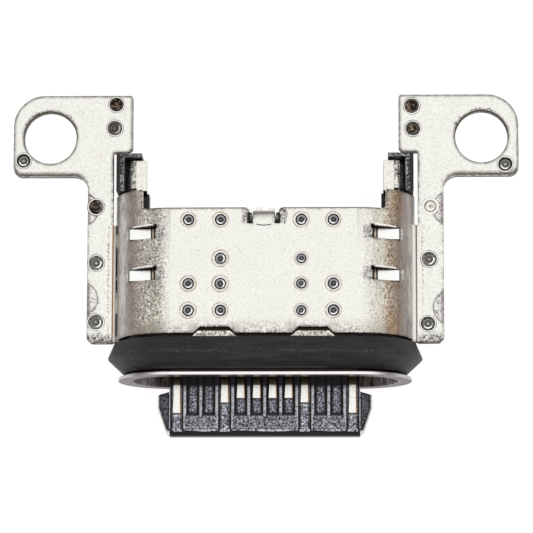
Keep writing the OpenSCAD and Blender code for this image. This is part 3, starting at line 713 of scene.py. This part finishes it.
# %% [markdown]
# ### Rubber and plastics
# The seal is matt silicone rubber with a few dust specks, and lighter flecks along its crest are
# a painted highlight. The tongue and the horns are glass-filled plastic. Faces that the mould's
# spark-eroded floor made are rough, with grey glints painted into their colour, while the walls
# beside them slid out of the mould smooth and stay black. Painted highlights also run along the
# edges and the top of the nose, and painted shade fills the corners, thin lines beside the
# grooves and the tongue inside the mouth.

# %% Rubber
def rubber_finish():
    material, tree, shader = start_material("seal_rubber", Roughness=0.55, Specular_IOR_Level=0.35)
    spot = object_mm(tree)
    along = use_group(tree, slot_ring)["Along"]
    drawn_out = vector_math("MULTIPLY", spot, (0.25, 2.0, 1.0))
    bloom = fade(noise(drawn_out, 3.0, 4.0, 0.7), 0.35, 0.68)
    colour = paint((0.018, 0.018, 0.021), (0.036, 0.036, 0.041), bloom)
    dust = fade(noise(spot, 11.0, 1.0, 0.5), 0.7, 0.76)
    colour = paint(colour, (0.2, 0.19, 0.18), dust, 0.35)
    moulded = times(band(along, 0.245, 0.262, 0.006), fade(bloom, 0.45, 0.6))
    colour = paint(colour, (0.12, 0.1, 0.08), moulded)
    # Painted highlight: lighter flecks along the crest of the seal.
    flecks = fade(noise(spot, 9.0, 3.0, 0.7), 0.52, 0.62)
    crown = times(band(along, 0.66, 0.76, 0.03), flecks, fade(bloom, 0.3, 0.6))
    colour = paint(colour, (0.1, 0.095, 0.09), crown, 0.6)
    connect(colour, shader, "Base Color")
    add_bump(shader, noise(spot, 20.0, 3.0, 0.7), 0.012)
    return material


# %% Plastics
SMOOTH_BLACK = (0.004, 0.004, 0.005)


def plastic_finish(name, glints):
    material, tree, shader = start_material(name, Roughness=0.4, Specular_IOR_Level=0.4)
    wear_and_painted_light = use_group(tree, stain_and_light, Reach=0.0001)
    spot = object_mm(tree)
    x, y, z = split(spot)
    facing = face_normal(tree)
    across = size_of(x)
    fibres = noise(spot, 15.0, 3.0, 0.85, 0.5)
    bright = tuple(c * glints for c in (0.76, 0.76, 0.88))
    dim = tuple(c * 0.18 for c in bright)
    # Painted highlights: grey glints in the eroded faces.
    eroded = ramp_of(fibres, (0.42, (0.008, 0.008, 0.01)), (0.5, dim), (0.62, bright))
    outside = fade(y, 0.0, -0.1)
    long_groove = either(band(across, 1.0, 1.5), band(across, 2.5, 3.0))
    low_floor = times(fade(size_of(z), 0.3, 0.24), outside)
    eroded = tint(eroded, (1.2, 1.2, 1.25), low_floor, opposite(long_groove))
    shine = tint(eroded, (1.7, 1.7, 1.7), 1.0)
    eroded = paint(eroded, shine, low_floor, long_groove)
    wing = times(fade(across, 2.96, 3.0), outside)
    eroded = tint(eroded, (0.34, 0.34, 0.36), wing)
    at_horn = fade(y, 5.0, 5.1)
    eroded = tint(eroded, (0.22, 0.21, 0.23), at_horn)
    # Painted highlight: sparse glints on the horns.
    horn_glint = times(at_horn, fade(fibres, 0.56, 0.62), fade(across, 4.57, 4.52))
    eroded = paint(eroded, tuple(c * glints for c in (0.9, 0.88, 0.95)), horn_glint)
    # Painted shade in the corners.
    eroded = paint(eroded, (0.003, 0.003, 0.004), wear_and_painted_light["Corner"])
    level = fade(size_of(facing["Z"]), 0.8, 0.9)
    smooth_wall = paint(SMOOTH_BLACK, (0.012, 0.012, 0.014), fibres)
    colour = paint(smooth_wall, eroded, level)
    glint = tuple(c * glints for c in (0.95, 0.96, 1.0))
    nose = band(y, -1.7, -1.6, 0.008)
    colour = paint(colour, SMOOTH_BLACK, nose)
    # Painted highlights: glints along the top of the nose and along the edges.
    row = times(band(y, -1.6, -1.53, 0.01), fade(fibres, 0.44, 0.56), level)
    edges = times(wear_and_painted_light["Edge"], fade(fibres, 0.34, 0.48), level, opposite(times(at_horn, 0.85)))
    edges = times(edges, opposite(either(nose, wing)))
    wing_edge = either(wear_and_painted_light["Edge"], fade(across, 3.05, 3.02))
    colour = paint(colour, SMOOTH_BLACK, wing, wing_edge)
    colour = paint(colour, glint, either(edges, row))
    # Painted shade: thin black lines beside the grooves and at the ends of the windows.
    from_centre = size_of(plus(math_node("WRAP", x, CONTACT_PITCH, 0.0), -HALF_PITCH))
    run = either(times(long_groove, fade(y, -1.62, -1.6)), fade(y, -1.12, -1.1))
    shaded_beside = times(band(from_centre, 0.16, 0.212, 0.01), run)
    end = times(band(y, -1.115, -1.05, 0.008), fade(from_centre, 0.215, 0.2), opposite(long_groove))
    groove_shade_lines = times(either(shaded_beside, end), fade(across, 3.0, 2.98), outside)
    colour = paint(colour, SMOOTH_BLACK, groove_shade_lines, 0.95)
    # Painted highlight: pale glints beside the black lines.
    pale = times(band(from_centre, 0.222, 0.242, 0.006), fade(fibres, 0.4, 0.5), level)
    pale = times(pale, run, fade(across, 3.0, 2.98), outside)
    colour = paint(colour, glint, pale, 0.7)
    # Painted shade on the tongue inside the mouth.
    colour = paint(colour, (0.006, 0.005, 0.006), fade(y, -0.28, -0.12), fade(y, 5.0, 4.8))
    foot = times(at_horn, fade(y, 6.3, 6.0), fade(across, 3.95, 3.8))
    rim = times(fade(across, 4.55, 4.59), at_horn)
    colour = paint(colour, (0.02, 0.014, 0.012), either(foot, rim))
    connect(colour, shader, "Base Color")
    connect(scaled(fibres, 0.3, 0.25), shader, "Roughness")
    add_bump(shader, times(fibres, level), 0.02)
    return material


FINISH = {
    "bracket_steel": bracket_finish(),
    "shell_steel": shell_finish(),
    "plate_steel": plate_finish(),
    "contact_metal": contact_finish(),
    "seal_rubber": rubber_finish(),
    "moulding_black": plastic_finish("moulding_black", 1.0),
    "insulator_black": plastic_finish("insulator_black", 0.4),
    "sealant_dark": plastic_finish("sealant_dark", 0.25),
}
print("finishes:", ", ".join(FINISH))


# %% [markdown]
# ## Broken edges on the sheet, the shell and the plastic
# A real edge is never perfectly sharp, and the thin bright line along it comes from that small
# round. A CAD mesh is loose triangles, so a copy is merged, and each edge that turns by more
# than 35 degrees is bevelled. Edges that a weld spot will cover stay as they are, so the places
# of the welds come first. Weighted normals then keep the big flat faces flat, so that only the
# narrow rounds catch the light. The copy replaces its node.

# %% Places of the weld spots
# Each spot is x, y, z and size, and then its kind: 0 is ringed, 1 glassy, 2 burnt and -1 pale.
ARCH_Z, LEG_Z = 1.76, 0.15
arch_spots = [(x, y, ARCH_Z, 1.0, 0.0) for x in (-2.345, -1.345, 2.165) for y in (2.005, 2.845, 4.86)]
arch_spots += [(-1.345, 3.635, ARCH_Z, 1.0, 0.0), (1.165, 4.86, ARCH_Z, 1.0, 0.0)]
arch_spots += [(1.165, y, ARCH_Z, 0.84, 0.12) for y in (2.005, 2.845, 3.635)]
leg_spots = [(-5.334, 1.89, 1.0), (-5.339, 3.77, 1.0), (-5.354, 5.57, 1.8)]
leg_spots += [(5.114, 1.82, 1.0), (5.164, 3.87, 1.2), (5.204, 5.57, -1.0)]
ear_spots = [(-4.741, 8.875, 2.0), (-4.786, 8.11, 1.6), (-7.681, 7.064, 1.0)]
ear_spots += [(4.634, 8.806, 2.0), (4.666, 8.07, 1.8), (7.581, 6.912, 1.0)]
flat_spots = [(x, y, LEG_Z, 1.0, kind) for x, y, kind in leg_spots + ear_spots]
top_spots = arch_spots + flat_spots
bottom_spots = [(x, y, -z, size, kind) for x, y, z, size, kind in arch_spots]
print("weld spots:", len(top_spots), "above and", len(bottom_spots), "below")


# %% Helper that rounds the edges of a copy
MERGE_MM, SHARP_TURN, SQUARE_ON = 0.0015, math.radians(35), 0.9999
WELD_REACH_MM = 0.21


def final_mesh(piece, name):
    mesh = bpy.data.meshes.new_from_object(piece.evaluated_get(bpy.context.evaluated_depsgraph_get()))
    mesh.name = name
    return mesh


def under_a_weld(edge):
    middle = (edge.verts[0].co + edge.verts[1].co) / (2 * MM)
    return any(math.hypot(middle.x - x, middle.y - y) < WELD_REACH_MM for x, y, *_ in top_spots)


def rounded_copy(node, edge_mm, slot):
    shape = bmesh.new()
    shape.from_mesh(nodes[node].data)
    bmesh.ops.remove_doubles(shape, verts=shape.verts, dist=MERGE_MM * MM)
    sharp = [edge for edge in shape.edges if edge.calc_face_angle(0.0) > SHARP_TURN]
    if slot == "bracket_steel":
        sharp = [edge for edge in sharp if not under_a_weld(edge)]
    bmesh.ops.bevel(
        shape, geom=sharp, offset=edge_mm * MM, offset_type="OFFSET", segments=2, profile=0.5,
        affect="EDGES", clamp_overlap=False, loop_slide=False, miter_outer="SHARP",
    )
    shape.normal_update()
    for face in shape.faces:
        face.smooth = max(abs(v) for v in face.normal) < SQUARE_ON
    mesh = bpy.data.meshes.new(node + "_finished")
    shape.to_mesh(mesh)
    shape.free()
    mesh.materials.clear()
    mesh.materials.append(FINISH[slot])
    piece = place_object(node + "_finished", mesh)
    weigh = piece.modifiers.new("weigh", "WEIGHTED_NORMAL")
    weigh.mode = "FACE_AREA"
    weigh.weight = 90
    weigh.keep_sharp = True
    finished = final_mesh(piece, piece.name)
    piece.modifiers.clear()
    piece.data = finished
    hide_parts(node)
    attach(piece, "root")
    print(node, "faces", len(piece.data.polygons))


EDGES = {
    "top_bracket": (0.02, "bracket_steel"),
    "bottom_bracket": (0.02, "bracket_steel"),
    "inner_shell": (0.02, "shell_steel"),
    "tongue_moulding": (0.02, "moulding_black"),
    "mid_plate": (0.02, "plate_steel"),
}
for number in (1, 4, 5, 6, 7, 8, 9, 12):
    for row in "ab":
        EDGES[f"contact_{row}{number}"] = (0.015, "contact_metal")
for node, (edge_mm, slot) in EDGES.items():
    rounded_copy(node, edge_mm, slot)

# %% The pieces that are hidden inside keep their plain edges
for node, slot in {
    "upper_insulator": "insulator_black",
    "lower_insulator": "insulator_black",
    "rear_sealant": "sealant_dark",
    "upper_ground_plate": "plate_steel",
    "lower_ground_plate": "plate_steel",
}.items():
    nodes[node].data.materials.clear()
    nodes[node].data.materials.append(FINISH[slot])


# %% [markdown]
# ## The seal, swept along its path
# The rubber ring keeps one section all the way round the shell, so Geometry Nodes sweep that
# section along a rounded path. The section is drawn once as a loop of points, with its height
# above the groove as X and its place along the socket as Y.

# %% Section of the seal
def arc_points(centre, radius, start, end, steps):
    angles = [math.radians(start + (end - start) * i / steps) for i in range(steps + 1)]
    return [(centre[0] + radius * math.cos(a), centre[1] + radius * math.sin(a)) for a in angles]


SEAL_FRONT_Y, SEAL_REAR_Y = 0.21, 1.19
SEAL_FRONT_H, SEAL_PEAK_H, SEAL_REAR_H = 0.1, 0.58, 0.39
PEAK_Y, TIP_R, LIP_R = 0.71, 0.06, 0.03


def seal_section():
    crown = SEAL_PEAK_H - TIP_R
    front_a = 90 + math.degrees(math.atan2(crown - SEAL_FRONT_H, PEAK_Y - SEAL_FRONT_Y))
    rear_a = 90 - math.degrees(math.atan2(crown - SEAL_REAR_H, SEAL_REAR_Y - PEAK_Y))
    front = (SEAL_FRONT_Y + LIP_R, SEAL_FRONT_H - LIP_R)
    points = [(SEAL_FRONT_Y, 0.0)] + arc_points(front, LIP_R, 180, 125, 4)
    points += arc_points((PEAK_Y, crown), TIP_R, front_a + 8, rear_a - 8, 8)
    points += arc_points((SEAL_REAR_Y - LIP_R, SEAL_REAR_H - LIP_R), LIP_R, 66, 0, 3)
    points.append((SEAL_REAR_Y, 0.0))
    return [(height, y) for y, height in points]


section = seal_section()
print("seal section points:", len(section))


# %% Geometry Nodes tree that sweeps the section
def then(shape, kind, inputs=None, key="Geometry", **settings):
    return add_node(shape.id_data, kind, {key: shape, **(inputs or {})}, **settings).outputs[0]


def coat(shape, material, result):
    real = then(shape, "GeometryNodeRealizeInstances")
    connect(then(real, "GeometryNodeSetMaterial", {"Material": material}), result, "Geometry")


def seal_tree():
    inputs = {"Section": "Geometry", "Path width": 0.00872, "Path height": 0.00294}
    inputs |= {"Corner steps": 28, "Rubber": "Material"}
    tree, given, result = new_group("seal_sweep", inputs, ["Geometry"], "GeometryNodeTree")
    width, height = given["Path width"], given["Path height"]
    box = {"Width": width, "Height": height}
    loop = add_node(tree, "GeometryNodeCurvePrimitiveQuadrilateral", box).outputs[0]
    rounding = {"Count": given["Corner steps"], "Radius": times(height, 0.49999), "Limit Radius": True}
    corners = then(loop, "GeometryNodeFilletCurve", rounding, "Curve", mode="POLY")
    upright = then(corners, "GeometryNodeSetCurveNormal", key="Curve", mode="Z_UP")
    profile = then(given["Section"], "GeometryNodeMeshToCurve", key="Mesh")
    sweep = then(upright, "GeometryNodeCurveToMesh", {"Profile Curve": profile}, "Curve")
    turned = then(sweep, "GeometryNodeTransform", {"Rotation": (math.radians(90), 0, 0)})
    coat(then(turned, "GeometryNodeSetShadeSmooth"), given["Rubber"], result)
    return tree


def socket_id(tree, name):
    return next(s.identifier for s in tree.interface.items_tree if s.name == name and s.in_out == "INPUT")


def grow(name, start_mesh, tree, values):
    maker = place_object(name + "_start", start_mesh)
    modifier = maker.modifiers.new("nodes", "NODES")
    modifier.node_group = tree
    for key, value in values.items():
        modifier[socket_id(tree, key)] = value
    mesh = final_mesh(maker, name)
    bpy.data.objects.remove(maker)
    return place_object(name, mesh)


loop_mesh = bpy.data.meshes.new("seal_section")
loop_mesh.from_pydata(
    [(h * MM, y * MM, 0) for h, y in section],
    [(i, (i + 1) % len(section)) for i in range(len(section))],
    [],
)
seal = grow("seal_ring_swept", loop_mesh, seal_tree(), {"Rubber": FINISH["seal_rubber"]})
box = [Vector(c) / MM for c in seal.bound_box]
print("seal box mm", [round(v, 3) for v in box[0]], [round(v, 3) for v in box[6]])

# %% Close the seal and let it stand for its node
SEAL_MERGE_MM, SEAL_SHARP = 0.002, math.radians(50)
shape = bmesh.new()
shape.from_mesh(seal.data)
bmesh.ops.remove_doubles(shape, verts=shape.verts, dist=SEAL_MERGE_MM * MM)
bmesh.ops.recalc_face_normals(shape, faces=shape.faces)
shape.to_mesh(seal.data)
shape.free()
seal.data.set_sharp_from_angle(angle=SEAL_SHARP)
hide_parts("seal_ring")
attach(seal, "root")
print("seal faces", len(seal.data.polygons))

# %% [markdown]
# ## Weld spots
# A laser joins the sheets to the shell and to each other in small round spots. Each spot is a
# crater with a raised ring round it and a thin halo of tint. The same spot repeats on the arch,
# the legs and the ears, so Geometry Nodes make one from two curves and place it at each point.

# %% Geometry Nodes tree for the weld spots
def shape_curve(value, points):
    node = add_node(tree_of(value), "ShaderNodeFloatCurve", {"Value": value})
    curve = node.mapping.curves[0]
    for i, (u, level) in enumerate(points):
        if i < 2:
            curve.points[i].location = (u, level)
        else:
            curve.points.new(u, level)
        curve.points[i].handle_type = "VECTOR"
    node.mapping.update()
    return node.outputs[0]


# radius in units of 0.3 mm and height in units of 0.05 mm above a floor 0.035 mm down
SPOT_RADIUS = [(0.0, 0.0), (0.1, 0.2), (0.2, 0.3), (0.3, 0.38), (0.4, 0.47), (0.48, 0.54), (0.55, 0.58),
               (0.62, 0.64), (0.7, 0.72), (0.78, 0.84), (0.84, 0.95), (0.88, 0.95), (0.92, 0.57), (1.0, 0.0)]
SPOT_HEIGHT = [(0.0, 0.18), (0.1, 0.22), (0.2, 0.36), (0.3, 0.62), (0.4, 0.66), (0.48, 0.44), (0.55, 0.3),
               (0.62, 0.66), (0.7, 0.84), (0.78, 0.8), (0.84, 0.68), (0.88, 0.62), (0.92, 0.12), (1.0, 0.1)]
SPIN = 27.0  # turns the small random change of size into any angle


def store(shape, name, value):
    inputs = {"Name": name, "Value": value}
    return then(shape, "GeometryNodeStoreNamedAttribute", inputs, data_type="FLOAT", domain="POINT")


def stored(tree, name):
    return add_node(tree, "GeometryNodeInputNamedAttribute", {"Name": name}, data_type="FLOAT").outputs[0]


def weld_tree():
    inputs = {"Places": "Geometry", "Radius": 0.0003, "Depth": 0.000035, "Height": 0.00005}
    inputs |= {"Spread": 0.04, "Seed": 7, "Steel": "Material"}
    tree, given, result = new_group("weld_spots", inputs, ["Geometry"], "GeometryNodeTree")
    cells = {"Size X": 1.0, "Size Y": 1.0, "Vertices X": 33, "Vertices Y": 25}
    grid = add_node(tree, "GeometryNodeMeshGrid", cells).outputs["Mesh"]
    at = split(add_node(tree, "GeometryNodeInputPosition").outputs[0])
    along = plus(at["X"], 0.5)
    turn = times(plus(at["Y"], 0.5), 2 * math.pi)
    radius = times(shape_curve(along, SPOT_RADIUS), given["Radius"])
    height = minus(times(shape_curve(along, SPOT_HEIGHT), given["Height"]), given["Depth"])
    x, y = (times(radius, math_node(way, turn)) for way in ("COSINE", "SINE"))
    marked = store(store(grid, "ring", along), "turn", turn)
    disc = then(marked, "GeometryNodeSetPosition", {"Position": joined(X=x, Y=y, Z=height)})
    closed = then(disc, "GeometryNodeMergeByDistance", {"Distance": 0.000001})
    smooth = then(closed, "GeometryNodeSetShadeSmooth")
    limits = {"Min": times(given["Spread"], -1.0), "Max": given["Spread"], "Seed": given["Seed"]}
    chance = add_node(tree, "FunctionNodeRandomValue", limits, data_type="FLOAT").outputs["Value"]
    facing = joined(X=times(stored(tree, "over"), math.pi), Z=times(chance, SPIN))
    inputs = {"Instance": smooth, "Rotation": facing, "Scale": plus(stored(tree, "size"), chance)}
    coat(then(given["Places"], "GeometryNodeInstanceOnPoints", inputs, "Points"), given["Steel"], result)
    return tree


# %% [markdown]
# The colour of a weld spot follows its rings. The tree stored how far out each point lies as the
# attribute `ring`, so the material turns that into a dark crater, a bright ring, a dark trough,
# a bright shoulder and a thin brown line. The bright ring, the shoulder and the dot at the
# centre are painted highlights and the dark trough is painted shade, over the dark oxide of
# the weld and its brown line of tint; a white crescent on one side is a painted highlight too.

# %% Finish of the weld spots
RINGED = [
    (0.0, (0.34, 0.33, 0.33)),
    (0.06, (0.06, 0.05, 0.045)),
    (0.15, (0.03, 0.025, 0.022)),
    (0.21, (0.3, 0.31, 0.34)),
    (0.37, (0.42, 0.43, 0.48)),
    (0.42, (0.02, 0.016, 0.014)),
    (0.57, (0.012, 0.01, 0.009)),
    (0.61, (0.95, 0.94, 0.89)),
    (0.72, (0.97, 0.96, 0.92)),
    (0.755, (0.34, 0.19, 0.08)),
    (0.775, (0.34, 0.19, 0.08)),
    (0.81, (0.92, 0.91, 0.86)),
]
GLASSY = [
    (0.0, (1.0, 1.0, 0.98)),
    (0.06, (0.16, 0.15, 0.14)),
    (0.24, (0.12, 0.115, 0.105)),
    (0.5, (0.36, 0.36, 0.34)),
    (0.56, (0.012, 0.01, 0.009)),
    (0.725, (0.008, 0.007, 0.006)),
    (0.74, (1.0, 0.99, 0.96)),
    (0.79, (0.97, 0.96, 0.93)),
    (0.805, (0.1, 0.08, 0.06)),
    (0.83, (0.14, 0.1, 0.07)),
    (0.85, (0.95, 0.94, 0.88)),
]
ROSY = [
    (0.02, (0.3, 0.26, 0.22)),
    (0.14, (0.97, 0.95, 0.9)),
    (0.48, (0.93, 0.88, 0.8)),
    (0.57, (0.42, 0.27, 0.14)),
    (0.66, (0.97, 0.95, 0.9)),
]


def weld_finish():
    plain = {"Metallic": 1.0, "Roughness": 0.22, "Specular_Tint": (0.3, 0.3, 0.3, 1)}
    material, tree, shader = start_material("weld_spot", **plain)
    sheet = use_group(tree, grain, Grains_per_mm=17.0)
    names = "ring", "turn", "kind"
    ring, turn, kind = (add_node(tree, "ShaderNodeAttribute", attribute_name=n).outputs["Fac"] for n in names)
    spot = object_mm(tree)
    wobble = noise(spot, 5.0, 3.0, 0.7)
    uneven = scaled(wobble, 0.1, plus(ring, -0.05))
    colour = paint(ramp_of(uneven, *RINGED), ramp_of(uneven, *GLASSY), kind)
    burnt = times(fade(kind, 1.0, 2.0), fade(uneven, 0.7, 0.66))
    soot = ramp_of(noise(spot, 9.0, 3.0, 0.7), (0.5, (0.022, 0.016, 0.013)), (0.7, (0.42, 0.3, 0.21)))
    colour = paint(colour, soot, burnt)
    colour = paint(colour, ramp_of(uneven, *ROSY), fade(kind, -0.4, -0.9))
    low_right = math_node("COSINE", plus(turn, 0.9))
    outward = scaled(fade(kind, 0.5, 1.0), 0.12, 0.21)
    off_line = size_of(minus(minus(uneven, 0.085), outward))
    # Painted highlight: a white crescent on one side of the spot.
    crescent = times(fade(off_line, 0.095, 0.065), fade(low_right, 0.1, 0.75), fade(kind, 1.9, 1.2))
    colour = paint(colour, (1.0, 1.0, 0.98), crescent)
    flat = paint(*FLAT_TONES, sheet["Tone"])
    gaps = times(fade(noise(spot, 7.0, 2.0, 0.6), 0.46, 0.58), fade(ring, 0.72, 0.76))
    gaps = times(gaps, scaled(fade(kind, 0.5, 1.0), -0.4, 0.5))
    colour = paint(colour, flat, either(gaps, fade(ring, 0.86, 0.9)))
    connect(colour, shader, "Base Color")
    add_bump(shader, wobble, 0.003, times(crescent, 0.85))
    return material


def place_welds(name, spots, over):
    points = bpy.data.meshes.new(name + "_places")
    points.from_pydata([tuple(v * MM for v in spot[:3]) for spot in spots], [], [])
    sizes, kinds = [spot[3] for spot in spots], [spot[4] for spot in spots]
    for key, values in (("size", sizes), ("kind", kinds), ("over", [over] * len(spots))):
        points.attributes.new(key, "FLOAT", "POINT").data.foreach_set("value", values)
    piece = grow(name, points, spot_tree, {"Steel": spot_steel})
    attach(piece, "root")
    print(name, "faces", len(piece.data.polygons))


spot_tree, spot_steel = weld_tree(), weld_finish()
place_welds("weld_spots_top", top_spots, 0.0)
place_welds("weld_spots_bottom", bottom_spots, 1.0)


# %% [markdown]
# ## Light and floor
# A small metal part shows what is around it. The light comes from a white ceiling straight
# above, which the flat faces reflect, while the air towards the horizon is grey, which the
# sloping sides reflect. The camera itself sees plain white.

# %% World
CEILING = (0.16, 0.0, 0.987)
SKY = [(0.45, (0.3, 0.29, 0.28)), (0.74, (0.36, 0.35, 0.34)), (0.95, (1.0, 1.0, 1.0))]


def studio_world():
    world = bpy.data.worlds.new("studio")
    scene.world = world
    world.use_nodes = True
    tree = world.node_tree
    tree.nodes.clear()
    way = add_node(tree, "ShaderNodeTexCoord").outputs["Generated"]
    towards = vector_math("DOT_PRODUCT", way, CEILING, result="Value")
    seen = add_node(tree, "ShaderNodeLightPath").outputs["Is Camera Ray"]
    colour = paint(ramp_of(scaled(towards, 0.5, 0.5), *SKY), (1, 1, 1), seen)
    air = add_node(tree, "ShaderNodeBackground", {"Color": colour, "Strength": 1.0})
    connect(air.outputs[0], add_node(tree, "ShaderNodeOutputWorld"), "Surface")


studio_world()


# %% Lamp and floor
def soft_lamp(name, place_mm, aim_mm, side_mm, watts):
    data = bpy.data.lights.new(name, "AREA")
    data.shape = "SQUARE"
    data.size = side_mm * MM
    data.energy = watts
    lamp = place_object(name, data)
    lamp.location = Vector(place_mm) * MM
    lamp.rotation_euler = (Vector(place_mm) - Vector(aim_mm)).to_track_quat("Z", "Y").to_euler()
    lamp.visible_glossy = False


soft_lamp("overhead", (30, -60, 240), (0, 4, 0), 120, 0.09)

FLOOR_HALF, FLOOR_GAP = 250 * MM, 0.005 * MM
ways = ((-1, -1), (1, -1), (1, 1), (-1, 1))
corners = [(x * FLOOR_HALF, y * FLOOR_HALF, cad_low.z - FLOOR_GAP) for x, y in ways]
floor_mesh = bpy.data.meshes.new("floor")
floor_mesh.from_pydata(corners, [], [(0, 1, 2, 3)])
floor = place_object("floor", floor_mesh)


FLOOR_GLOW = 0.86


def floor_finish():
    material = bpy.data.materials.new("pale_floor")
    material.use_nodes = True
    tree = material.node_tree
    tree.nodes.clear()
    path = add_node(tree, "ShaderNodeLightPath").outputs
    seen = either(either(path["Is Camera Ray"], path["Is Glossy Ray"]), path["Is Transmission Ray"])
    white = add_node(tree, "ShaderNodeEmission", {"Color": (1, 1, 1, 1), "Strength": times(seen, FLOOR_GLOW)})
    paper = add_node(tree, "ShaderNodeBsdfDiffuse", {"Color": paint((0.8, 0.8, 0.8), (0.3, 0.3, 0.3), seen)})
    both = add_node(tree, "ShaderNodeAddShader", {0: white.outputs[0], 1: paper.outputs[0]})
    connect(both.outputs[0], add_node(tree, "ShaderNodeOutputMaterial"), "Surface")
    return material


floor_mesh.materials.append(floor_finish())
